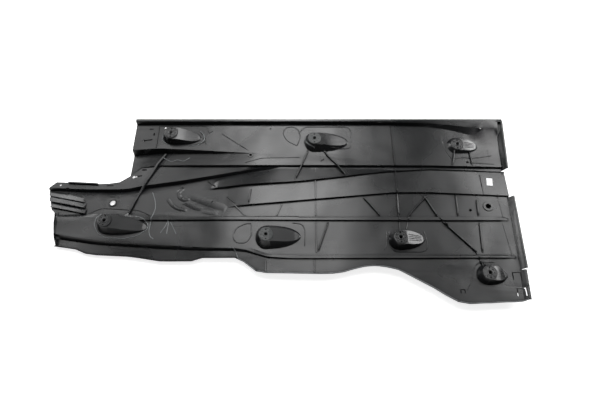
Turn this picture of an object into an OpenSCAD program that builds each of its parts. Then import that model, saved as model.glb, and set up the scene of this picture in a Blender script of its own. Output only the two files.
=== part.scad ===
// Underbody cover: a thin moulded panel that closes the floor of a car.
// X runs along the car, Y across it, and +Z is the side that faces the car.
// The origin is at the middle of the panel, at the height of its lowest face.

/* [Panel] */
// Length of the panel along the car, mm
panel_length = 1480; // [1300:10:1700]
// Width of the panel across the car, mm
panel_width = 620; // [560:5:700]
// Thickness of the moulded wall
wall = 2.5; // [2:0.1:3.2]

/* [Levels] */
// Top of the lowest strip above the ground, at the narrow end
strip_level = 6; // [4:0.5:8]
// Top of the middle field
field_level = 24; // [20:0.5:28]
// Top of the flat strip under the long straight rim
top_level = 34; // [31:0.5:38]
// Step from the middle field up to the long tapering band
band_step = 7; // [4:0.5:9]
// Step from the band up to the next field
field_step = 6.5; // [4:0.5:8]
// Step along the clip line that runs the whole length
line_step = 8; // [5:0.5:10]
// Height of the two-sided rise at the narrow end
tab_step = 11; // [8:0.5:14]

/* [Edges] */
// Height of the straight rim above the flat strip
rim_height = 15; // [10:0.5:20]
// Width of the lip that turns outward on the rim
rim_lip = 8; // [5:0.5:11]
// Height of the small lip along the wavy edge
edge_lip = 7; // [4:0.5:9]
// Height of the flanges on the wide end
flange_height = 18; // [14:1:24]
// Width of the lip on the wide end's flanges
flange_lip = 3; // [2:0.5:6]

/* [Beads and ribs] */
// Height of the two long stiffening beads
bead_height = 6.5; // [4:0.5:8]
// Height of the thin stiffening ribs
rib_height = 3; // [2:0.25:4]
// Width of the thin stiffening ribs
rib_width = 3.4; // [2.5:0.1:5]

/* [Bosses] */
// Diameter of the flat disc on each screw boss
disc_d = 43; // [38:1:48]
// Thickness of the disc that the screw clamps
disc_t = 3; // [2.5:0.25:4]
// Diameter of the screw hole
screw_d = 10; // [8:0.5:12]
// Diameter of the two small holes beside each screw hole
pin_d = 5; // [3:0.5:6]
// Distance between the two small holes
pin_pitch = 29; // [25:1:32]
// Height above the ground of the two discs nearest the straight rim
upper_disc_z = 59; // [56:0.5:64]
// Height of the three discs in the middle and at the narrow end
middle_disc_z = 51; // [48:0.5:56]
// Height of the two discs at the wide end's corners
corner_disc_z = 45; // [42:0.5:48]
// Draft between the disc and the foot of a boss, on the side away from its tail
boss_draft = 12; // [8:0.5:14]

/* [Openings] */
// Width of the slots between the blades of the louvre
louvre_gap = 9; // [6:0.5:11]
// Distance from one louvre slot to the next
louvre_pitch = 22; // [20:0.5:25]
// Diameter of the drain hole with its collar
drain_d = 18; // [12:1:22]
// Width of the snap tongues
tongue_w = 24; // [18:1:27]

/* [Label] */
// Length of the blank sticker
label_l = 27; // [20:1:34]
// Width of the blank sticker
label_w = 19; // [14:1:24]
// Thickness of the blank sticker
label_t = 0.3; // [0.2:0.05:0.5]

/* [Hidden] */
// The least distance between two neighbouring feature lines
line_gap = 1.6;
// Run of a drafted step
step_run = 3;

// Feature lines, each as [x, y] pairs from the narrow end to the wide end
wavy_edge = [[-740, -125], [-671, -131], [-599, -142], [-590, -150], [-572, -157], [-444, -164],
    [-383, -174], [-352, -179], [-256, -179], [-240, -169], [-120, -169], [-105, -178], [-83, -200],
    [-65, -213], [-47, -218], [151, -222], [195, -216], [245, -200], [298, -196], [355, -210],
    [397, -234], [437, -257], [464, -272], [490, -292], [522, -308], [545, -310], [688, -303],
    [740, -299]];
outer_line = [[-740, -97], [-680, -104], [-606, -116], [-543, -125], [-450, -131], [-359, -138],
    [-237, -144], [-113, -146], [-80, -155], [-43, -170], [34, -175], [740, -173]];
bead_line = [[-740, -50], [-397, -50], [156, -53], [740, -54]];
band_low = [[-740, -25], [-300, -15], [-129, -4], [64, 14], [256, 32], [364, 42], [474, 42], [740, 29]];
band_high = [[-740, 20], [-400, 40], [-196, 60], [64, 79], [192, 95], [260, 105], [331, 114], [484, 124],
    [740, 114]];
tail_line = [[-740, 63], [-690, 60], [-625, 57], [-497, 57], [-434, 69], [-323, 83], [-210, 102],
    [-114, 119], [-17, 129], [331, 124], [740, 121]];
clip_line = [[-740, 90], [-714, 89], [-578, 83], [-540, 85], [-515, 90], [-497, 98], [-485, 112],
    [-476, 138], [-393, 145], [-262, 142], [-98, 138], [484, 135], [740, 128]];
shoulder = [[-740, 150], [-485, 189], [-402, 197], [-266, 192], [-103, 185], [740, 185]];
rim_foot = [[-740, 297], [-485, 297], [64, 299], [334, 297], [485, 290], [561, 277], [615, 260], [663, 249],
    [740, 246]];

// The lines span the panel and follow its driving length and width
first_x = wavy_edge[0][0];
last_x = wavy_edge[len(wavy_edge) - 1][0];
lowest_y = min([for (p = wavy_edge) p[1]]);
kx = panel_length / (last_x - first_x);
ky = panel_width / (-2 * lowest_y);

// Heights of the fields along those lines, as [x, z] pairs
strip_z = [[-740, 0], [-359, 4], [-113, 9], [-43, field_level - strip_level - 2],
    [34, field_level - strip_level], [740, field_level - strip_level]];
basin_drop = [[-740, 15], [-480, 13], [-300, 8], [-200, 3], [-138, 0], [740, 0]];
tail_drop = [[-740, 20], [-480, 20], [-434, 18], [-323, 14], [-210, 9], [-114, 4], [-17, -6], [740, -7]];
clip_drop = [[-740, 10], [-480, 11], [-393, 9], [-262, 5], [-98, -3], [161, -5], [740, -6]];
shoulder_drop = [[-740, 24], [-485, 24], [-402, 21], [-266, 13], [-103, 1], [-60, 0], [740, 0]];
// Share of each full step along the panel, as [x, share] pairs
band_share = [[-740, 0], [-150, 0], [-120, 1.2], [364, 1], [740, 0.8]];
high_share = [[-740, 0], [-215, 0], [-190, 1.4], [60, 1.2], [484, 0.6], [740, 0.4]];
tail_share = [[-740, 1], [-480, 1], [-323, 1.2], [-114, 0.8], [-40, 0.5], [0, 0], [740, 0]];
clip_share = [[-740, 0], [-480, 0], [-410, 0.6], [-262, 1], [740, 1]];
bead_share = [[-740, 0], [-488, 0], [-470, 1], [686, 1], [700, 0], [740, 0]];
outer_share = [[-740, 0], [-75, 0], [-40, 1], [684, 1], [700, 0], [740, 0]];

function along(line, x) = ky * lookup(x / kx, line);
function level(line, x) = lookup(x / kx, line);

// One cross-section of the top face at x: [y, z] from the wavy edge to the outer lip of the rim
function raw_section(x) =
    let (edge = along(wavy_edge, x), outer = along(outer_line, x), bead = along(bead_line, x),
         low = along(band_low, x), high = along(band_high, x), tail = along(tail_line, x),
         clip = along(clip_line, x), rise = along(shoulder, x), foot = along(rim_foot, x),
         rim = panel_width / 2 - rim_lip,
         strip = strip_level + level(strip_z, x), basin = field_level - level(basin_drop, x),
         mid = (field_level + basin) / 2, tail_z = field_level - level(tail_drop, x),
         clip_z = field_level - level(clip_drop, x), rise_z = top_level - level(shoulder_drop, x),
         outer_bead = bead_height * level(outer_share, x), bead_up = bead_height * level(bead_share, x),
         wall_run = 2 + 0.5 * max(0, field_level - strip), rise_run = 1.5 + 0.3 * (top_level - rise_z))
    [
        [edge + wall, strip + edge_lip],
        [edge + wall + 1.5, strip],
        [outer, strip],
        [outer + wall_run, field_level + outer_bead],
        [outer + wall_run + 8, field_level + outer_bead],
        [outer + wall_run + 11, field_level],
        [bead, mid],
        [bead + 3, mid + bead_up],
        [bead + 12, mid + bead_up],
        [bead + 15, mid],
        [low, basin],
        [low + step_run, basin + band_step * level(band_share, x)],
        [high, basin + (band_step - 2) * level(band_share, x)],
        [high + step_run, basin + (band_step - 2) * level(band_share, x)
                          + field_step * level(high_share, x)],
        [tail, tail_z],
        [tail + 2 * step_run, tail_z + tab_step * level(tail_share, x)],
        [clip, clip_z],
        [clip + step_run, clip_z + line_step * level(clip_share, x)],
        [rise, rise_z],
        [rise + rise_run, top_level],
        [foot, top_level],
        [foot + (rim - foot) * 0.5, top_level + rim_height * 0.8],
        [rim, top_level + rim_height],
        [panel_width / 2, top_level + rim_height + 0.5]
    ];
// Neighbouring lines never cross: each point lies at least line_gap past the one before
function spread(raw, j = 0, out = []) =
    j == len(raw) ? out
    : let (y = j == 0 ? raw[j][0] : max(raw[j][0], out[j - 1][0] + line_gap))
        spread(raw, j + 1, concat(out, [[y, raw[j][1]]]));
function section(x) = spread(raw_section(x));

// Inner face of a cross-section: each corner moves by the wall along its mitre
function unit(v) = v / norm(v);
function side_normal(a, b) = unit([b[1] - a[1], -(b[0] - a[0])]);
function inner_section(s) = [for (j = [0 : len(s) - 1])
    let (before = side_normal(s[max(j - 1, 0)], s[max(j, 1)]),
         after = side_normal(s[min(j, len(s) - 2)], s[min(j + 1, len(s) - 1)]),
         sum = before + after)
    s[j] + wall * sum / max(1 + before * after, 0.6)];

// Stations along the panel: the narrow tongue first, then the wide part
tongue_end = -485 * kx;
sheet_start = first_x * kx;
sheet_end = last_x * kx;
tongue_bays = 8;
wide_bays = 38;
stations = concat(
    [for (i = [0 : tongue_bays - 1]) sheet_start + (tongue_end - sheet_start) * i / tongue_bays],
    [for (i = [0 : wide_bays]) tongue_end + (sheet_end - tongue_end) * i / wide_bays]);
sections = [for (x = stations) section(x)];
inner_sections = [for (s = sections) inner_section(s)];
// The panel stands on its lowest face, so everything comes down by that much
ground = min([for (s = inner_sections) min([for (p = s) p[1]])]);
rows = len(sections[0]);
columns = len(stations);
// The tongue stops at the clip line, the wide part reaches the rim
tongue_rows = 16;
function last_row(i) = i < tongue_bays ? tongue_rows : rows - 1;

function corner(i, j) = i * rows + j;
function quad(a, b, c, d) = [[a, b, c], [a, c, d]];
module sheet() {
    outer_points = [for (i = [0 : columns - 1]) for (p = sections[i]) [stations[i], p[0], p[1]]];
    inner_points = [for (i = [0 : columns - 1]) for (p = inner_sections[i]) [stations[i], p[0], p[1]]];
    under = columns * rows;
    faces = [
        for (i = [0 : columns - 2]) for (j = [0 : last_row(i) - 1])
            each quad(corner(i, j), corner(i, j + 1), corner(i + 1, j + 1), corner(i + 1, j)),
        for (i = [0 : columns - 2]) for (j = [0 : last_row(i) - 1])
            each quad(under + corner(i, j), under + corner(i + 1, j),
                      under + corner(i + 1, j + 1), under + corner(i, j + 1)),
        for (i = [0 : columns - 2])
            each quad(corner(i, 0), corner(i + 1, 0), under + corner(i + 1, 0), under + corner(i, 0)),
        for (i = [0 : columns - 2])
            let (j = last_row(i))
            each quad(corner(i + 1, j), corner(i, j), under + corner(i, j), under + corner(i + 1, j)),
        for (j = [0 : tongue_rows - 1])
            each quad(corner(0, j + 1), corner(0, j), under + corner(0, j), under + corner(0, j + 1)),
        for (j = [tongue_rows : rows - 2])
            each quad(corner(tongue_bays, j + 1), corner(tongue_bays, j),
                      under + corner(tongue_bays, j), under + corner(tongue_bays, j + 1)),
        for (j = [0 : rows - 2])
            each quad(corner(columns - 1, j), corner(columns - 1, j + 1),
                      under + corner(columns - 1, j + 1), under + corner(columns - 1, j))
    ];
    polyhedron(concat(outer_points, inner_points), faces, convexity = 12);
}

// Height of the top face at any place
function cut_at(s, y, j = 0) =
    (j >= len(s) - 2 || y <= s[j + 1][0])
        ? s[j][1] + (s[j + 1][1] - s[j][1]) * (y - s[j][0]) / (s[j + 1][0] - s[j][0])
        : cut_at(s, y, j + 1);
function face_z(x, y) = cut_at(section(x), y);

// Screw bosses as [x, y, height of the disc, tail length, turn of the tail, half width of the foot]
bosses = [
    [-359 * kx, 249 * ky, upper_disc_z + ground, 98, -4, 31],
    [111 * kx, 228 * ky, upper_disc_z + ground, 114, -1, 40],
    [579 * kx, 214 * ky, corner_disc_z + ground, 70, -3, 32],
    [-526 * kx, -61 * ky, middle_disc_z + ground, 128, -5, 35],
    [-38 * kx, -105 * ky, middle_disc_z + ground, 107, 1, 40],
    [363 * kx, -115 * ky, middle_disc_z + ground, 80, 3, 32],
    [611 * kx, -222 * ky, corner_disc_z + ground, 60, -1, 32]
];
boss_sides = 28;
// The disc stands this much above the ramp that runs away from it
disc_rise = 1;
// Distance from the end of a boss's foot to the end of its ramp
tail_draft = 6;
// Outline of a boss: a half ellipse behind the screw, and a fuller or plainer one out to reach before it
function drop_outline(back, side, reach, fullness) = [for (k = [0 : boss_sides - 1])
    let (a = 360 * (k + 0.5) / boss_sides, c = cos(a), s = sin(a))
    [c > 0 ? reach * pow(c, fullness) : back * c, side * s]];
// Three rings from the foot to the disc; past the disc the top falls away along the tail
module drop_solid(foot_back, foot_side, head_r, reach, foot_z, head_z, low_z) {
    function top_at(x) = let (t = max(0, min(1, (x - head_r * 0.9) / (reach - tail_draft - head_r))))
        head_z - disc_rise + (low_z - head_z + disc_rise) * t;
    foot = drop_outline(foot_back, foot_side, reach, 0.9);
    neck = drop_outline(head_r + 1.5, head_r + 1.5, reach - tail_draft * 0.5, 0.6);
    head = drop_outline(head_r, head_r, reach - tail_draft, 0.6);
    points = concat(
        [for (p = foot) [p[0], p[1], foot_z]],
        [for (p = neck) [p[0], p[1], top_at(p[0]) - 2]],
        [for (p = head) [p[0], p[1], top_at(p[0])]]);
    n = boss_sides;
    half = n / 2;
    faces = [
        for (ring = [0, 1]) for (k = [0 : n - 1])
            let (m = (k + 1) % n, a = ring * n)
            each quad(a + k, a + n + k, a + n + m, a + m),
        for (k = [0 : half - 2])
            each quad(2 * n + k, 2 * n + n - 1 - k, 2 * n + n - 2 - k, 2 * n + k + 1),
        [for (k = [0 : n - 1]) k]
    ];
    polyhedron(points, faces, convexity = 4);
}
module at_boss(b) translate([b[0], b[1], 0]) rotate([0, 0, b[4]]) children();
function boss_floor(b) = face_z(b[0] + b[3] * 0.5, b[1]);
module boss_outside(b) at_boss(b) {
    drop_solid(disc_d / 2 + boss_draft, b[5], disc_d / 2, b[3], boss_floor(b) - wall * 0.7, b[2],
        boss_floor(b) + 3);
    translate([0, 0, b[2] - disc_t]) cylinder(d = disc_d - 1, h = disc_t, $fn = 40);
}
module boss_inside(b) at_boss(b)
    drop_solid(disc_d / 2 + boss_draft - wall, b[5] - wall, disc_d / 2 - wall, b[3] - 2 * wall,
        boss_floor(b) - 14, b[2] - disc_t + disc_rise, boss_floor(b) + 3 - wall);
module boss_holes(b) at_boss(b) {
    translate([0, 0, b[2] - disc_t - 2]) cylinder(d = screw_d, h = disc_t + 6, $fn = 48);
    for (side = [-1, 1])
        translate([0, side * pin_pitch / 2, b[2] - disc_t - 2])
            cylinder(d = pin_d, h = disc_t + 6, $fn = 32);
}
// A thin rib that follows the top face along a path of [x, y] points
module surface_rib(path, w = rib_width, h = rib_height) {
    step = 60;
    line = [for (k = [0 : len(path) - 2])
                let (a = path[k], b = path[k + 1], n = max(1, ceil(norm(b - a) / step)))
                for (t = [0 : n - 1]) a + (b - a) * t / n,
            path[len(path) - 1]];
    n = len(line);
    function heading(k) = unit(line[min(k + 1, n - 1)] - line[max(k - 1, 0)]);
    points = [for (k = [0 : n - 1])
        let (d = heading(k), s = [-d[1], d[0]] * w / 2, p = line[k], z = face_z(p[0], p[1]))
        each [[p[0] - s[0], p[1] - s[1], z - wall * 0.6], [p[0] + s[0], p[1] + s[1], z - wall * 0.6],
              [p[0] + s[0] * 0.7, p[1] + s[1] * 0.7, z + h], [p[0] - s[0] * 0.7, p[1] - s[1] * 0.7, z + h]]];
    faces = concat(
        [for (k = [0 : n - 2]) for (q = [0 : 3])
            let (a = 4 * k + q, b = 4 * k + (q + 1) % 4)
            each quad(a, a + 4, b + 4, b)],
        [[0, 1, 2, 3], [4 * n - 1, 4 * n - 2, 4 * n - 3, 4 * n - 4]]);
    polyhedron(points, faces, convexity = 4);
}
function placed(path) = [for (p = path) [p[0] * kx, p[1] * ky]];

// Thin ribs over the fields
rib_paths = [
    [[90, 196], [81, 168], [71, 143], [48, 88]],
    [[142, 196], [159, 166], [183, 140], [208, 106]],
    [[113, 132], [113, 22]],
    [[113, 12], [113, -34]],
    [[113, -56], [113, -153]],
    [[370, 292], [370, 140]],
    [[370, 130], [370, 46]],
    [[370, 38], [370, -34]],
    [[370, -56], [370, -86]],
    [[464, 36], [400, -34]],
    [[452, 36], [485, -34]],
    [[504, -56], [590, -153]],
    [[596, -182], [602, -196]],
    [[608, -182], [607, -190]],
    [[617, 20], [615, -34]],
    [[614, -56], [608, -153]],
    [[554, 38], [552, -34]],
    [[263, 28], [310, -34]],
    [[150, -56], [119, -150]],
    [[-91, 55], [-96, 6]],
    [[7, 4], [-8, -34]],
    [[569, 196], [554, 140]],
    [[617, 196], [619, 138]],
    [[-37, -178], [-37, -212]],
    [[107, -178], [107, -216]],
    [[641, 108], [641, 36]],
    [[-409, 288], [-409, 208]],
    [[-694, -16], [-688, -50], [-680, -92]],
    [[-232, 92], [-206, 70]],
    [[-166, 33], [-140, 10]],
    [[-140, 2], [-105, -34]]
];
// The stout rib across the panel at the end of the clip flange
cross_rib = [[-378, 190], [-399, 152], [-432, 78], [-444, 55], [-469, -20]];
// Louvre on the narrow end: blades that rise towards the wavy edge, each over its own slot
louvre_len = 130;
louvre_turn = -11.5;
louvre_blades_n = 3;
blade_rise = 8;
louvre_y = 66;
module at_louvre(k) translate([sheet_start + 13 * k, louvre_y * ky - louvre_pitch * k,
                               face_z(sheet_start + louvre_len / 2,
                                      (louvre_y - 12) * ky - louvre_pitch * k)])
    rotate([0, 0, louvre_turn]) children();
module louvre_blade(k) at_louvre(k)
    translate([0, -louvre_pitch, 0]) rotate([90, 0, 90]) linear_extrude(height = louvre_len - 8 * k)
        polygon([[0, blade_rise], [0, blade_rise - wall], [louvre_pitch - 2, -wall],
                 [louvre_pitch - 2, 0.5]]);
module louvre_slot(k) at_louvre(k)
    translate([8, -louvre_gap - 5, -20]) cube([louvre_len - 16 - 8 * k, louvre_gap, 20 + blade_rise]);

// Slanted end of the tongue, with its notch
tongue_tip = [[-752, -170], [-676, -170], [-682, -96], [-700, -20], [-716, -6], [-740, 66], [-716, 92],
    [-716, 140], [-752, 140]];
// Lips on the tongue: one along its slanted end, one along the side that faces the rim
tongue_lips = [[[-675, -122], [-682, -96], [-700, -20]], [[-678, 86], [-584, 81]]];
module tongue_end_cut() linear_extrude(height = 100) polygon(placed(tongue_tip));

// Flanges on the wide end as [from, to, height of the foot, height, lip], between [x, y] points
flange_draft = 12;
wide_end = panel_length / 2;
flanges = [
    [[wide_end - 19, -296 * ky], [wide_end - 15, -207 * ky], field_level, 8, flange_lip],
    [[wide_end - 15, -206 * ky], [wide_end - 9, 28 * ky], field_level, flange_height, flange_lip],
    [[wide_end - 14, 121 * ky], [wide_end, 303 * ky], top_level - 4, flange_height + 4, flange_lip]
];
// Breadth of the leaning wall along X, which keeps its thickness at the moulded wall
function flange_breadth(f) = wall * norm([flange_draft, f[3]]) / f[3];
function flange_reach(f) = flange_breadth(f) + flange_draft + f[4];
module end_flange(f) {
    run = f[1] - f[0];
    breadth = flange_breadth(f);
    translate([f[1][0] - flange_reach(f), f[1][1], f[2] - wall])
        rotate([90, 0, atan2(-run[0], run[1])])
            linear_extrude(height = norm(run))
                polygon([[0, 0], [breadth, 0], [breadth + flange_draft, f[3]], [flange_reach(f), f[3]],
                         [flange_reach(f), f[3] + wall], [flange_draft + 1.5, f[3] + wall],
                         [flange_draft, f[3]]]);
}
// The sheet ends inside the feet of the flanges and runs further out between and beyond them
tab_end = wide_end - 20;
tab_gap = [0, 3];
function flange_foot(f, k) = [f[k][0] - flange_reach(f) + wall * 0.6, f[k][1]];
module wide_end_cut() linear_extrude(height = 100) polygon([
    [wide_end + 20, -panel_width],
    [flange_foot(flanges[0], 0)[0], -panel_width],
    flange_foot(flanges[0], 0),
    flange_foot(flanges[0], 1),
    flange_foot(flanges[1], 0),
    flange_foot(flanges[1], 1) + tab_gap,
    [tab_end, flanges[1][1][1]] + tab_gap,
    [tab_end, flanges[2][0][1]] - tab_gap,
    flange_foot(flanges[2], 0) - tab_gap,
    flange_foot(flanges[2], 1) + tab_gap,
    [wide_end + 20, flanges[2][1][1]] + tab_gap
]);

// Openings through the sheet
module through(x, y) translate([x * kx, y * ky, face_z(x * kx, y * ky) - 12]) children();
module round_hole(x, y, d) through(x, y) cylinder(d = d, h = 24, $fn = 40);
module slot_hole(x, y, l, w, turn = 0) through(x, y) rotate([0, 0, turn])
    translate([-l / 2, -w / 2, 0]) cube([l, w, 24]);
module keyhole(x, y) {
    round_hole(x, y, 9);
    slot_hole(x + 14, y + 2, 26, 4.5, 9);
}
module snap_tongue(x, y, w) through(x, y) {
    slit = 3;
    for (side = [-1, 1]) translate([side * w / 2 - slit / 2, -w / 2, 0]) cube([slit, w, 24]);
    translate([-w / 2, w / 2 - slit, 0]) cube([w, slit, 24]);
}
module collar(x, y, d, h = 3, t = 3) translate([x * kx, y * ky, face_z(x * kx, y * ky) - wall / 2])
    rotate_extrude($fn = 48)
        polygon([[d / 2 - 1, 0], [d / 2 + t + 2, 0], [d / 2 + t, h + wall / 2], [d / 2 - 1, h + wall / 2]]);
drain = [-527, 16];
plug = [650, -2];
plug_d = 17;
module collars() {
    collar(drain[0], drain[1], drain_d, 3);
    collar(plug[0], plug[1], plug_d, 2.5, 7);
    collar(-97, 178, 9, 2.5);
}
module openings() {
    round_hole(drain[0], drain[1], drain_d);
    round_hole(plug[0], plug[1], plug_d);
    round_hole(-97, 178, 9);
    round_hole(593, -15, 9);
    round_hole(-35, 281, 6);
    round_hole(665, 274, 7);
    round_hole(-704, 78, 6);
    round_hole(-388, 284, 7);
    slot_hole(136, 158, 14, 3, 40);
    slot_hole(-545, 76, 22, 4, 2);
    slot_hole(-422, 259, 6, 10);
    slot_hole(605, 150, 9, 7);
    slot_hole(-434, 279, 14, 5);
    slot_hole(-443, 134, 16, 5);
    slot_hole(-679, 66, 10, 6);
    keyhole(-452, 234);
    keyhole(-474, 108);
    snap_tongue(696, -226, tongue_w);
    snap_tongue(700, -273, tongue_w);
    snap_tongue(532, -271, 12);
}

// The whole moulding before its holes are cut, brought to its stated length and width
module moulding() {
    difference() {
        union() {
            difference() {
                union() {
                    difference() {
                        sheet();
                        for (k = [0 : louvre_blades_n - 1]) louvre_slot(k);
                    }
                    for (k = [0 : louvre_blades_n - 1]) louvre_blade(k);
                    for (path = rib_paths) surface_rib(placed(path));
                    surface_rib(placed(cross_rib), 7, bead_height);
                    for (path = tongue_lips) surface_rib(placed(path), 2 * wall, edge_lip);
                    collars();
                }
                tongue_end_cut();
                wide_end_cut();
            }
            for (b = bosses) boss_outside(b);
            for (f = flanges) end_flange(f);
        }
        for (b = bosses) boss_inside(b);
    }
}

module cover() {
    color([0.16, 0.17, 0.17]) translate([0, 0, -ground])
        difference() {
            resize([panel_length, panel_width, 0]) moulding();
            for (b = bosses) boss_holes(b);
            openings();
        }
}

module label() {
    corners = [for (c = [[-1, -1], [1, -1], [1, 1], [-1, 1]])
        [667 * kx + c[0] * label_l / 2, 82 * ky + c[1] * label_w / 2]];
    under = [for (c = corners) [c[0], c[1], face_z(c[0], c[1]) + 0.05]];
    over = [for (c = under) c + [0, 0, label_t]];
    color("white") translate([0, 0, -ground])
        polyhedron(concat(under, over), [[0, 1, 2, 3], [7, 6, 5, 4], [0, 4, 5, 1], [1, 5, 6, 2],
                                         [2, 6, 7, 3], [3, 7, 4, 0]]);
}

cover();
label();
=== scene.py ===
# %% [markdown]
# # An underbody cover in black polypropylene
# The real object is one thin injection-moulded panel that closes part of a car's floor.
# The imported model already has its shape, so this script dresses it. It rounds the edges
# as a mould does, lays the finest raised lines over the sheet, gives everything a moulded
# plastic finish, and lights it the way the photograph was lit.

# %% Load the frame
import math

import bpy
from mathutils import Matrix, Vector
from mathutils.bvhtree import BVHTree


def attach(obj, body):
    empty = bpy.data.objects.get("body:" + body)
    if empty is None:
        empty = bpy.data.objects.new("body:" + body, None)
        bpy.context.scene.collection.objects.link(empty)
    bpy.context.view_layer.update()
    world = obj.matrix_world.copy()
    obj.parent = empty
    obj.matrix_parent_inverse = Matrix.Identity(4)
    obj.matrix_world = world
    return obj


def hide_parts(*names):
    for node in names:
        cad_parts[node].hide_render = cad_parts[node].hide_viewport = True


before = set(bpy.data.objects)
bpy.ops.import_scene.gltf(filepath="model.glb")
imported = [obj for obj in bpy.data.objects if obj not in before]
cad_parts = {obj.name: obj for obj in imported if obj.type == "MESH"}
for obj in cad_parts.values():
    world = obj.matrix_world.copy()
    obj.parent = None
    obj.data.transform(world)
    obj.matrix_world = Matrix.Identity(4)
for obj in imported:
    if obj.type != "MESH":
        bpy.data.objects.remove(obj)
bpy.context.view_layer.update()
MM = 0.001
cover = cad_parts["cover"]
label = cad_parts["label"]

# %% [markdown]
# ## Three helpers for materials
# Colours are chosen as sRGB hex values, the way a colour picker shows them, but shaders
# work in linear light, so one function converts them. A second one adds a shader node
# with its settings and links, which keeps every material below to a few readable lines.


# %% Helpers for materials
def linear(hex_colour):
    """An sRGB hex colour such as '1b1c1c' as linear red, green, blue and alpha."""
    def channel(pair):
        value = int(pair, 16) / 255
        return value / 12.92 if value <= 0.04045 else ((value + 0.055) / 1.055) ** 2.4
    return [channel(hex_colour[i:i + 2]) for i in (0, 2, 4)] + [1.0]


def add_node(tree, kind, settings=None, **inputs):
    """One shader node: its settings by name, and its inputs as values or as sockets to link from."""
    node = tree.nodes.new(kind)
    for name, value in (settings or {}).items():
        setattr(node, name, value)
    for name, value in inputs.items():
        key = int(name[1:]) if name[1:].isdigit() else name.replace("_", " ")
        if isinstance(value, bpy.types.NodeSocket):
            tree.links.new(value, node.inputs[key])
        else:
            node.inputs[key].default_value = value
    return node


def new_material(name):
    """An empty node material with its output node."""
    material = bpy.data.materials.new(name)
    material.use_nodes = True
    material.node_tree.nodes.clear()
    output = material.node_tree.nodes.new("ShaderNodeOutputMaterial")
    return material, material.node_tree, output


# %% [markdown]
# ## Where the seven screw bosses are
# Several steps need them: the plastic is rougher on two discs, flutes run down three
# ramps, and rings and pads stand on every disc.

# %% Screw bosses: x, y of the screw, height of the disc, length and turn of the tail, in mm and degrees
BOSSES = {
    "rim_1": (-359, 249, 59, 98, -4),
    "rim_2": (111, 228, 59, 114, -1),
    "rim_3": (579, 214, 45, 70, -3),
    "wavy_1": (-526, -61, 51, 128, -5),
    "wavy_2": (-38, -105, 51, 107, 1),
    "wavy_3": (363, -115, 51, 80, 3),
    "corner": (611, -222, 45, 60, -1),
}
DISC_R = 21.5
PALE_DISCS = ("rim_2", "wavy_2")
MATT_RAMPS = {"wavy_1": 24, "wavy_2": 30}
print("screw bosses:", len(BOSSES))
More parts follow.
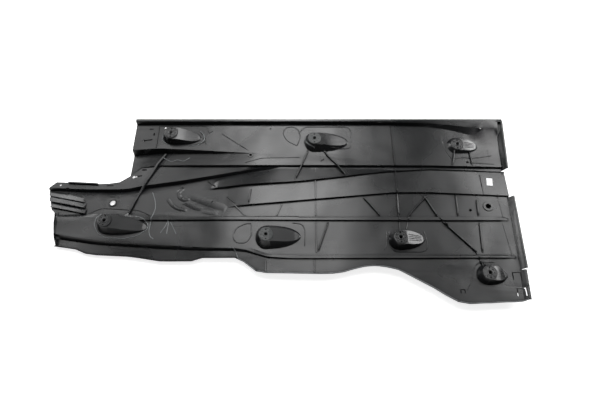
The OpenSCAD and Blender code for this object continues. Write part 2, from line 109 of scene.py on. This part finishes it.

# %% [markdown]
# ## The plastic: black polypropylene, injection-moulded
# The resin is filled with carbon black, so its body colour is nearly black, and what the
# eye reads is its satin skin. The sheet is thin and warps a little as it cools, so soft
# reflections break into clouds. The melt also leaves streaks that fan out along the panel:
# there the skin is a shade rougher and paler. A fine grain sits on top of both. On two
# screw discs the skin is made rough and pale within their radius. Two
# ramps are rough too, above the height that MATT_RAMPS gives. In foot corners and at the
# roots of ribs the specular level is lowered as painted shade, which draws them as dark lines.
# A second version of the same plastic, painted paler as a highlight, is kept for the
# crests of raised lines and for the edge lip.


# %% Moulded black polypropylene
def moulded_polypropylene(name, dark, pale, rough_low, rough_high):
    material, tree, output = new_material(name)
    place = add_node(tree, "ShaderNodeTexCoord").outputs["Object"]
    warp = add_node(tree, "ShaderNodeTexNoise", Vector=place, Scale=1 / (170 * MM), Detail=1.5)
    along_flow = add_node(tree, "ShaderNodeMapping", Vector=place, Rotation=(0, 0, math.radians(12)),
                          Scale=(1 / (330 * MM), 1 / (60 * MM), 1 / (60 * MM)))
    flow = add_node(tree, "ShaderNodeTexNoise", Vector=along_flow.outputs["Vector"], Scale=1.0, Detail=5.0,
                    Distortion=0.8)
    grain = add_node(tree, "ShaderNodeTexNoise", Vector=place, Scale=1 / (1.1 * MM), Detail=3.0)
    tone = add_node(tree, "ShaderNodeMixRGB", Fac=flow.outputs["Fac"], Color1=linear(dark),
                    Color2=linear(pale))
    clouds = add_node(tree, "ShaderNodeTexNoise", Vector=place, Scale=1 / (160 * MM), Detail=2.0, Distortion=0.3)
    rough = add_node(tree, "ShaderNodeMapRange", Value=clouds.outputs["Fac"], From_Min=0.35, From_Max=0.65,
                     To_Min=rough_low, To_Max=rough_high)
    # Within the radius of the discs in PALE_DISCS the skin is made paler and rougher.
    on_disc = None
    for x, y, disc_z, _, _ in (BOSSES[name] for name in PALE_DISCS):
        away = add_node(tree, "ShaderNodeVectorMath", {"operation": "DISTANCE"}, _0=place,
                        _1=(x * MM, y * MM, disc_z * MM))
        inside = add_node(tree, "ShaderNodeMath", {"operation": "LESS_THAN"}, _0=away.outputs["Value"],
                          _1=DISC_R * MM).outputs["Value"]
        on_disc = inside if on_disc is None else add_node(
            tree, "ShaderNodeMath", {"operation": "MAXIMUM"}, _0=on_disc, _1=inside).outputs["Value"]
    tone = add_node(tree, "ShaderNodeMixRGB", Fac=on_disc, Color1=tone.outputs["Color"], Color2=linear("4b4d4d"))
    rough = add_node(tree, "ShaderNodeMath", {"operation": "MULTIPLY_ADD"}, _0=on_disc, _1=0.28,
                     _2=rough.outputs["Result"])
    height = add_node(tree, "ShaderNodeSeparateXYZ", Vector=place).outputs["Z"]
    for name, lowest in MATT_RAMPS.items():
        x, y, disc_z, tail, turn = BOSSES[name]
        turn = math.radians(turn)
        middle = (x + 0.65 * tail * math.cos(turn), y + 0.65 * tail * math.sin(turn), lowest)
        away = add_node(tree, "ShaderNodeVectorMath", {"operation": "DISTANCE"}, _0=place,
                        _1=tuple(v * MM for v in middle))
        beside = add_node(tree, "ShaderNodeMath", {"operation": "LESS_THAN"}, _0=away.outputs["Value"],
                          _1=0.60 * tail * MM)
        above = add_node(tree, "ShaderNodeMath", {"operation": "GREATER_THAN"}, _0=height, _1=lowest * MM)
        ramp = add_node(tree, "ShaderNodeMath", {"operation": "MULTIPLY"}, _0=beside.outputs["Value"],
                        _1=above.outputs["Value"])
        rough = add_node(tree, "ShaderNodeMath", {"operation": "MULTIPLY_ADD"}, _0=ramp.outputs["Value"], _1=0.35,
                         _2=rough.outputs["Value"])
    # Painted shade: ambient occlusion lowers the specular level in foot corners and at the roots of ribs, which
    # draws them as dark lines.
    corner = add_node(tree, "ShaderNodeAmbientOcclusion", {"samples": 8}, Distance=14 * MM)
    painted_corner_shade = add_node(tree, "ShaderNodeMapRange", Value=corner.outputs["AO"], From_Min=0.45, From_Max=0.85,
                     To_Min=0.12, To_Max=0.5)
    swell = add_node(tree, "ShaderNodeBump", Height=warp.outputs["Fac"], Strength=0.6, Distance=9 * MM)
    streaks = add_node(tree, "ShaderNodeBump", Height=flow.outputs["Fac"], Strength=0.5, Distance=1.8 * MM,
                       Normal=swell.outputs["Normal"])
    skin = add_node(tree, "ShaderNodeBump", Height=grain.outputs["Fac"], Strength=0.10, Distance=0.12 * MM,
                    Normal=streaks.outputs["Normal"])
    shader = add_node(tree, "ShaderNodeBsdfPrincipled", Base_Color=tone.outputs["Color"],
                      Roughness=rough.outputs["Value"], IOR=1.5,
                      Specular_IOR_Level=painted_corner_shade.outputs["Result"], Normal=skin.outputs["Normal"])
    tree.links.new(shader.outputs["BSDF"], output.inputs["Surface"])
    return material


plastic = moulded_polypropylene("black_polypropylene_moulded", "101112", "1a1b1c", 0.22, 0.34)
# A paler copy of the plastic: a painted highlight for the crests of raised lines and the edge lip.
painted_highlight_plastic = moulded_polypropylene("black_polypropylene_painted_highlight", "575a5b", "787b7c", 0.30, 0.45)
cover.data.materials.clear()
cover.data.materials.append(plastic)
print("plastic nodes:", len(plastic.node_tree.nodes))

# %% [markdown]
# ## The sticker: white paper-like film
# It is blank. A trace of fibre in its tone keeps it from looking like a hole.


# %% Blank white label film
def label_film():
    material, tree, output = new_material("white_label_film_blank")
    place = add_node(tree, "ShaderNodeTexCoord").outputs["Object"]
    fibre = add_node(tree, "ShaderNodeTexNoise", Vector=place, Scale=1 / (0.8 * MM), Detail=3.0)
    tone = add_node(tree, "ShaderNodeMixRGB", Fac=fibre.outputs["Fac"], Color1=linear("e6e8e9"),
                    Color2=linear("f2f3f3"))
    dents = add_node(tree, "ShaderNodeBump", Height=fibre.outputs["Fac"], Strength=0.1, Distance=0.05 * MM)
    shader = add_node(tree, "ShaderNodeBsdfPrincipled", Base_Color=tone.outputs["Color"], Roughness=0.45, IOR=1.5,
                      Normal=dents.outputs["Normal"])
    tree.links.new(shader.outputs["BSDF"], output.inputs["Surface"])
    return material


label.data.materials.clear()
label.data.materials.append(label_film())

# %% [markdown]
# ## Rounded edges
# No edge of a moulding is sharp, because the mould's own edges have a radius. A small
# bevel on every hard edge catches the light as a thin bright line, and weighted normals
# keep the broad faces beside it flat in shade.

# %% Edge radius on the cover
EDGE_RADIUS = 0.9 * MM
weld = cover.modifiers.new("weld", "WELD")
weld.merge_threshold = 0.02 * MM
radius = cover.modifiers.new("edge_radius", "BEVEL")
radius.width = EDGE_RADIUS
radius.segments = 2
radius.limit_method = "ANGLE"
radius.angle_limit = math.radians(28)
radius.use_clamp_overlap = True
normals = cover.modifiers.new("soft_normals", "WEIGHTED_NORMAL")
normals.keep_sharp = False
print("cover faces before the edge radius:", len(cover.data.polygons))

# %% [markdown]
# ## Finding the sheet under a point
# Every fine line lies on the sheet, which is neither flat nor level. A ray shot straight
# down onto the cover gives the height and the slope of its top face at any place.

# %% The cover's top face
surface = BVHTree.FromPolygons([v.co for v in cover.data.vertices], [p.vertices for p in cover.data.polygons])


def on_sheet(x, y):
    """The point of the cover's top face at x, y in mm, and the face's normal there."""
    hit, normal, _, _ = surface.ray_cast(Vector((x * MM, y * MM, 1)), Vector((0, 0, -1)))
    return hit, normal


def rounded(path, reach):
    """The path with each inner corner replaced by a curve that starts and ends reach mm from it."""
    points = [Vector(path[0])]
    for before, corner, after in zip(path, path[1:], path[2:]):
        before, corner, after = Vector(before), Vector(corner), Vector(after)
        into = (before - corner).normalized() * min(reach, (before - corner).length / 2)
        away = (after - corner).normalized() * min(reach, (after - corner).length / 2)
        for t in (0, 0.25, 0.5, 0.75, 1):
            points.append(corner + into * (1 - t) ** 2 + away * t ** 2)
    return points + [Vector(path[-1])]


def stepped(path, step):
    """Points along the path, about step mm apart."""
    points = []
    for a, b in zip(path, path[1:]):
        count = max(1, math.ceil((b - a).length / step))
        points += [a.lerp(b, k / count) for k in range(count)]
    return points + [path[-1]]


# %% [markdown]
# ## Fine raised lines
# A raised line is a low rounded ridge. Its section has five points: two feet just under
# the skin, two shoulders and a crown. The ends sink into the sheet.

# %% A ridge that follows the sheet
RIDGE_SECTION = ((-0.5, -0.3), (-0.3, 0.75), (0, 1), (0.3, 0.75), (0.5, -0.3))


def ridge(path, width, height, verts, faces, corner=12, step=5, lift=0):
    """Adds to verts and faces a ridge of that width and height, all in mm."""
    line = stepped(rounded(path, corner), step)
    first = len(verts)
    rows = 0
    for k, point in enumerate(line):
        heading = (line[min(k + 1, len(line) - 1)] - line[max(k - 1, 0)]).normalized()
        hit, normal = on_sheet(point.x, point.y)
        if hit is None:
            continue
        side = Vector((-heading.y, heading.x, 0))
        taper = 0.1 if k in (0, len(line) - 1) else 1
        for across, up in RIDGE_SECTION:
            place = hit + side * across * width * MM
            place.z += (up * height * taper + lift) * MM
            place.z -= (side.x * normal.x + side.y * normal.y) / max(normal.z, 0.3) * across * width * MM
            verts.append(place)
        rows += 1
    n = len(RIDGE_SECTION)
    for r in range(rows - 1):
        for q in range(n - 1):
            a = first + r * n + q
            faces.append((a, a + n, a + n + 1, a + 1))


def make_piece(name, verts, faces, material, slot="black_polypropylene"):
    """A smooth-shaded mesh object that rides on the cover."""
    mesh = bpy.data.meshes.new(name)
    mesh.from_pydata([tuple(v) for v in verts], [], faces)
    mesh.materials.append(material)
    for polygon in mesh.polygons:
        polygon.use_smooth = True
    piece = bpy.data.objects.new(name, mesh)
    bpy.context.scene.collection.objects.link(piece)
    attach(piece, "root")
    print(name, "vertices:", len(mesh.vertices), "faces:", len(mesh.polygons))
    return piece


# %% Lines round the screw bosses and across the fields, as x, y in mm
BOSS_LINES = [
    [(59, 262), (80, 288), (222, 288), (234, 276), (234, 214), (222, 202), (160, 202)],
    [(54, 214), (66, 248), (60, 276), (40, 290), (14, 284), (6, 262), (20, 234), (54, 214)],
    [(326, -86), (324, -133), (315, -146)],
    [(334, -86), (332, -130), (346, -152), (434, -152), (448, -138), (446, -112), (440, -84)],
    [(-410, 292), (-250, 292), (-240, 262), (-252, 226), (-300, 212)],
    [(-86, -60), (-83, -101), (-98, -124), (-128, -124), (-141, -104), (-131, -75), (-101, -60), (-86, -60)],
    [(40, -58), (72, -62), (80, -84), (78, -134)],
    [(545, -268), (560, -246), (566, -214), (586, -186), (640, -184)],
    [(533, 252), (536, 212), (547, 182), (557, 160)],
    [(560, 160), (584, 168), (640, 166), (690, 176)],
    [(-596, -20), (-560, -2), (-440, -10), (-400, -30), (-388, -70)],
]
FIELD_LINES = [
    [(-480, -36), (-200, -36), (60, -36)],
    [(60, -40), (698, -40), (706, -46), (698, -54)],
    [(60, -163), (698, -163), (706, -168), (698, -174)],
    [(-122, 91), (-121, 77)],
    [(-28, 91), (-27, 79)],
    [(-270, 268), (-257, 252), (-255, 232), (-269, 217)],
    [(-246, 260), (-227, 272)],
    [(-252, 248), (-245, 213)],
    [(-196, 260), (-106, 197)],
    [(-114, 150), (-59, 167), (64, 169)],
    [(678, 197), (677, 152)],
    [(607, 148), (690, 142)],
    [(684, 40), (690, -40)],
    [(685, -58), (694, -168)],
]
verts, faces = [], []
for path in BOSS_LINES:
    ridge(path, 3.2, 1.5, verts, faces)
for path in FIELD_LINES:
    ridge(path, 3.0, 1.3, verts, faces)
raised_lines = make_piece("raised_lines", verts, faces, plastic)

# %% Lines painted paler as highlights: the oval round the first wavy-side boss, crescents, and lines in the basin
PALE_LINES = [
    [(-556, -22), (-568, -40), (-568, -62), (-552, -90), (-526, -106), (-470, -110), (-430, -100),
     (-402, -78), (-402, -60), (-420, -42), (-446, -32)],
    [(-406, 54), (-394, 26), (-389, -2), (-394, -30), (-396, -63), (-397, -83), (-390, -103), (-379, -110)],
    [(-388, 262), (-394, 244), (-386, 228), (-366, 216)],
    [(-270, 272), (-256, 256), (-252, 238), (-268, 218), (-300, 210)],
    [(84, 250), (80, 228), (92, 208), (112, 198)],
    [(-342, -47), (-348, -67), (-361, -90)],
    [(-341, -50), (-341, -80), (-341, -93)],
    [(-335, -53), (-323, -73), (-313, -93)],
    [(-384, 176), (-356, 161), (-337, 169), (-316, 161), (-298, 176)],
]
verts, faces = [], []
for path in PALE_LINES:
    ridge(path, 3.0, 1.3, verts, faces, corner=8)
pale_lines = make_piece("painted_highlight_lines", verts, faces, painted_highlight_plastic)

# %% [markdown]
# ## The lip along the wavy edge
# The edge at the wide end's front is turned down, and along the bend runs a small rounded
# lip. Its line is found by coming from the front until the sheet is as high as it is
# further in.

# %% Edge lip
LIP_FROM, LIP_TO, LIP_STEP, FURTHER_IN = -150, 716, 16, 30
lip_path = []
for x in range(LIP_FROM, LIP_TO, LIP_STEP):
    y = -318
    while on_sheet(x, y)[0] is None and y < -100:
        y += 1
    level = on_sheet(x, y + FURTHER_IN)[0].z - 0.8 * MM
    while on_sheet(x, y)[0].z < level:
        y += 0.5
    lip_path.append((x, y + 1))
verts, faces = [], []
ridge(lip_path, 3.4, 1.8, verts, faces, corner=6)
# The lip is drawn in the paler copy of the plastic, a painted highlight along the bend.
edge_lip = make_piece("edge_lip", verts, faces, painted_highlight_plastic)

# %% [markdown]
# ## Crowns of the stiffening ribs
# The thin ribs of the model get rounded crowns, a little wider than the ribs themselves,
# because a mould's rib always has a fillet at its foot.

# %% Ribs round the bosses and in the field at the wide end
RIB_LINES = [
    [(90, 192), (81, 168), (71, 143), (50, 92)],
    [(142, 192), (159, 166), (183, 140), (206, 108)],
    [(569, 192), (555, 142)],
    [(617, 190), (619, 142)],
    [(464, 36), (400, -32), (386, -86)],
    [(452, 36), (485, -32), (504, -58), (588, -151), (602, -196)],
    [(370, 60), (368, -84)],
    [(614, -58), (608, -151)],
    [(617, 20), (615, -32)],
    [(554, 38), (552, -32)],
    [(263, 28), (310, -32)],
    [(150, -58), (119, -148)],
    [(-91, 53), (-96, 8)],
]
verts, faces = [], []
for path in RIB_LINES:
    ridge(path, 5.0, 3.0, verts, faces)
rib_crowns = make_piece("rib_crowns", verts, faces, plastic)

# %% [markdown]
# ## Broad soft ridges in the basin
# Where the low part of the sheet climbs to the middle field there are a hooked ridge and
# two long shallow ones beside it. They are wide and low, and show only as soft glints.

# %% Soft ridges
SOFT_RIDGES = [
    ([(-307, 67), (-322, 54), (-318, 33), (-301, 22), (-284, 29)], 16, 1.3),
    ([(-354, 29), (-342, 10), (-325, -4), (-289, -14)], 14, 1.2),
    ([(-285, 39), (-232, 16), (-195, 2), (-165, -10)], 30, 0.7),
    ([(-301, 18), (-265, -3), (-225, -18), (-190, -26)], 22, 0.6),
]
verts, faces = [], []
for path, width, height in SOFT_RIDGES:
    ridge(path, width, height, verts, faces, corner=20)
soft_ridges = make_piece("soft_ridges", verts, faces, plastic)

# %% [markdown]
# ## Flutes on the ramps
# From each screw disc a ramp runs down to the sheet. On the three bosses at the wide end
# four shallow flutes run along it. They stiffen the ramp, and they shine in the low light.

# %% Flutes
FLUTED = ("rim_3", "wavy_3", "corner")
FLUTE_OFFSETS = (-9, -3, 3, 9)
verts, faces = [], []
for x, y, _, tail, turn in (BOSSES[name] for name in FLUTED):
    along = Vector((math.cos(math.radians(turn)), math.sin(math.radians(turn))))
    across = Vector((-along.y, along.x))
    for offset in FLUTE_OFFSETS:
        start = Vector((x, y)) + along * (DISC_R + 2) + across * offset
        end = Vector((x, y)) + along * (tail - 14) + across * offset * 0.8
        ridge([start, end], 3.4, 0.9, verts, faces, step=8)
flutes = make_piece("ramp_flutes", verts, faces, plastic)

# %% [markdown]
# ## Faces of the screw discs
# Each disc has a raised ring round the screw hole, a rim near its edge, and small round
# pads between them, which the washer presses on. Two places stay free for the pin holes.

# %% Rings and pads
RING_PROFILE = {"inner": ((5.6, -0.2), (6.2, 0.9), (8.2, 0.9), (9.2, -0.2)),
                "outer": ((17.6, -0.2), (18.4, 0.8), (19.6, 0.8), (20.4, -0.2))}
PAD_ANGLES = (0, 45, 135, 180, 225, 315)
PAD_R, PAD_AT, PAD_HEIGHT = 2.6, 13.6, 1.0


def lathe(centre, profile, turns, verts, faces, closed_top=False):
    """Adds a turned form: profile pairs are radius and height in mm over the centre."""
    first = len(verts)
    for k in range(turns):
        angle = 2 * math.pi * k / turns
        for r, z in profile:
            verts.append(centre + Vector((r * math.cos(angle), r * math.sin(angle), z)) * MM)
    n = len(profile)
    for k in range(turns):
        a, b = first + k * n, first + (k + 1) % turns * n
        for q in range(n - 1):
            faces.append((a + q, b + q, b + q + 1, a + q + 1))
    if closed_top:
        faces.append([first + k * n + n - 1 for k in range(turns)])


verts, faces = [], []
for x, y, disc_z, tail, turn in BOSSES.values():
    centre = Vector((x, y, disc_z)) * MM
    for profile in RING_PROFILE.values():
        lathe(centre, profile, 48, verts, faces)
    for angle in PAD_ANGLES:
        a = math.radians(angle + turn)
        place = centre + Vector((math.cos(a), math.sin(a), 0)) * PAD_AT * MM
        dome = [(PAD_R, -0.2), (PAD_R * 0.8, PAD_HEIGHT * 0.7), (PAD_R * 0.4, PAD_HEIGHT)]
        lathe(place, dome, 16, verts, faces, closed_top=True)
disc_faces = make_piece("disc_rings_and_pads", verts, faces, plastic)

# %% [markdown]
# ## A web in the corner and the upright sticker
# Where the rim meets the upper end flange a small upright web closes the corner. The
# sticker is a blank film that stands upright in the picture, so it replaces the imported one.


# %% Prisms
def prism(outline, push):
    """Vertices and faces of a prism: the outline in mm, and the same pushed by the vector."""
    n = len(outline)
    verts = [Vector(p) * MM for p in outline] + [(Vector(p) + Vector(push)) * MM for p in outline]
    faces = [tuple(range(n)), tuple(range(2 * n - 1, n - 1, -1))]
    faces += [(k, k + n, (k + 1) % n + n, (k + 1) % n) for k in range(n)]
    return verts, faces


corner_web = make_piece("corner_web", *prism([(718, 299, 48), (724, 299, 31), (738, 299, 50)], (0, 6, 0)), plastic)

LABEL_AT, LABEL_SIZE, LABEL_TURN, LABEL_THICK = (667, 82), (18.5, 26), -6, 0.3
label_z = on_sheet(*LABEL_AT)[0].z / MM
corners = []
for sx, sy in ((-1, -1), (1, -1), (1, 1), (-1, 1)):
    arm = Vector((sx * LABEL_SIZE[0] / 2, sy * LABEL_SIZE[1] / 2, 0))
    arm.rotate(Matrix.Rotation(math.radians(LABEL_TURN), 3, "Z"))
    corners.append((LABEL_AT[0] + arm.x, LABEL_AT[1] + arm.y, label_z + 0.05))
sticker = make_piece("blank_sticker", *prism(corners, (0, 0, LABEL_THICK)), label.data.materials[0], "blank_label")
for piece in (corner_web, sticker):
    for polygon in piece.data.polygons:
        polygon.use_smooth = False
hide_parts("label")

# %% [markdown]
# ## Camera, floor and light
# The camera stands 1.38 m above the floor and looks down by 64 degrees, as a person does
# who photographs a panel that lies at their feet.

# %% Camera
CAMERA_PLACE = Vector((0.064, -0.6395, 1.376))
CAMERA_DOWN = math.radians(64)
camera = bpy.data.objects.new("camera", bpy.data.cameras.new("camera"))
bpy.context.scene.collection.objects.link(camera)
camera.location = CAMERA_PLACE
camera.rotation_euler = (math.pi / 2 - CAMERA_DOWN, 0, 0)
camera.data.lens = 28.8
camera.data.sensor_width = 36
bpy.context.scene.camera = camera


# %% Floor that looks white to the camera and keeps a soft shadow
def pale_floor():
    material, tree, output = new_material("pale_floor")
    shader = add_node(tree, "ShaderNodeBsdfPrincipled", Base_Color=linear("f6f6f6"), Roughness=0.8)
    ray = add_node(tree, "ShaderNodeLightPath")
    seen = ray.outputs["Is Camera Ray"]
    for kind in ("Is Glossy Ray", "Is Transmission Ray"):
        seen = add_node(tree, "ShaderNodeMath", {"operation": "MAXIMUM"}, _0=seen, _1=ray.outputs[kind])
        seen = seen.outputs["Value"]
    glow = add_node(tree, "ShaderNodeMath", {"operation": "MULTIPLY"}, _0=seen, _1=0.8)
    backdrop = add_node(tree, "ShaderNodeEmission", Strength=glow.outputs["Value"])
    both = add_node(tree, "ShaderNodeAddShader", _0=shader.outputs["BSDF"], _1=backdrop.outputs["Emission"])
    tree.links.new(both.outputs["Shader"], output.inputs["Surface"])
    return material


bpy.ops.mesh.primitive_plane_add(size=12, location=(0, 0, 0))
floor = bpy.context.object
floor.name = "floor"
floor.data.transform(Matrix.Translation((0, 0, -0.6 * MM)))
floor.data.materials.append(pale_floor())

# %% [markdown]
# ## The dark floor beneath the panel
# Hardly any light gets under the panel, so its small openings look dark from above. The
# floor's cells that the cover roofs over, a little in from its edges, are therefore dark.
# The drain hole is the one opening that the picture shows bright, and the cells behind it
# are left out.

# %% Cells of floor under the cover
CELL, UNDER_DRAIN, DRAIN_CLEAR = 6, Vector((-534, 21)), 28
# In front of a cell, to its left and over it, one of these places each has to be roofed over;
# the second and third place of a row look past a hole in the sheet
ROOF_TESTS = (((0, -30), (0, -44)), ((-20, 0), (-32, 0)), ((0, 0), (-10, 0), (0, -10)))
verts, faces = [], []
for x in range(-738, 738, CELL):
    for y in range(-306, 304, CELL):
        middle = Vector((x + CELL / 2, y + CELL / 2))
        roofed = all(any(on_sheet(middle.x + dx, middle.y + dy)[0] is not None for dx, dy in row)
                     for row in ROOF_TESTS)
        if roofed and (middle - UNDER_DRAIN).length > DRAIN_CLEAR:
            faces.append(tuple(range(len(verts), len(verts) + 4)))
            verts += [Vector((x + dx, y + dy, -0.3)) * MM for dx, dy in ((0, 0), (CELL, 0), (CELL, CELL), (0, CELL))]
material, tree, output = new_material("floor_in_deep_shade")
shader = add_node(tree, "ShaderNodeBsdfPrincipled", Base_Color=linear("161616"), Roughness=0.9)
tree.links.new(shader.outputs["BSDF"], output.inputs["Surface"])
shade = bpy.data.objects.new("floor_shade", bpy.data.meshes.new("floor_shade"))
shade.data.from_pydata([tuple(v) for v in verts], [], faces)
shade.data.materials.append(material)
bpy.context.scene.collection.objects.link(shade)
print("cells in the shade:", len(faces))

# %% [markdown]
# ## Light
# Glossy black plastic shows its lights more than its colour. The fields mirror a patch of
# ceiling behind the panel, so the big soft light hangs there, a narrow one hangs beyond a
# dark gap on the right, and two low ones graze the ramps and the end flanges.


# %% Area lights
def area_light(name, place, target, size, watts):
    lamp = bpy.data.lights.new(name, "AREA")
    lamp.shape = "RECTANGLE"
    lamp.size, lamp.size_y = size
    lamp.energy = watts
    lamp_object = bpy.data.objects.new(name, lamp)
    lamp_object.location = place
    lamp_object.rotation_euler = (Vector(target) - Vector(place)).to_track_quat("-Z", "Y").to_euler()
    bpy.context.scene.collection.objects.link(lamp_object)
    return lamp_object


area_light("main", (-0.05, 1.15, 2.2), (-0.05, 1.15, 0), (0.8, 1.5), 15)
area_light("main_wide", (-0.02, 1.15, 2.21), (-0.02, 1.15, 0), (1.25, 1.6), 17)
area_light("main_back", (-0.05, 1.8, 2.19), (-0.05, 1.8, 0), (1.0, 0.5), 6)
area_light("left", (-1.35, 1.65, 2.2), (-1.35, 1.65, 0), (1.0, 1.0), 9)
area_light("tab", (-1.95, 1.05, 2.2), (-1.95, 1.05, 0), (0.7, 0.8), 8)
area_light("right", (1.75, 1.25, 2.2), (1.75, 1.25, 0), (0.4, 1.9), 20)
area_light("low_right", (2.3, 1.0, 1.15), (0.5, 0.0, 0.0), (1.3, 0.8), 44)
area_light("low_left", (-2.0, 1.1, 0.6), (0.5, 0.0, 0.0), (0.9, 0.6), 12)
area_light("back_left", (-1.7, 1.95, 0.75), (-0.6, 0.0, 0.0), (0.9, 0.4), 10)

# %% Surroundings: nearly dark in front of the panel, brighter behind it
world = bpy.data.worlds.new("studio")
bpy.context.scene.world = world
world.use_nodes = True
tree = world.node_tree
sky = tree.nodes["Background"]
sky.inputs["Color"].default_value = (1, 1, 1, 1)
direction = add_node(tree, "ShaderNodeTexCoord").outputs["Generated"]
parts = add_node(tree, "ShaderNodeSeparateXYZ", Vector=direction)
strength = add_node(tree, "ShaderNodeMapRange", Value=parts.outputs["Y"], From_Min=-0.4, From_Max=0.6,
                    To_Min=0.06, To_Max=0.19)
tree.links.new(strength.outputs["Result"], sky.inputs["Strength"])
bpy.context.scene.view_settings.view_transform = "Standard"
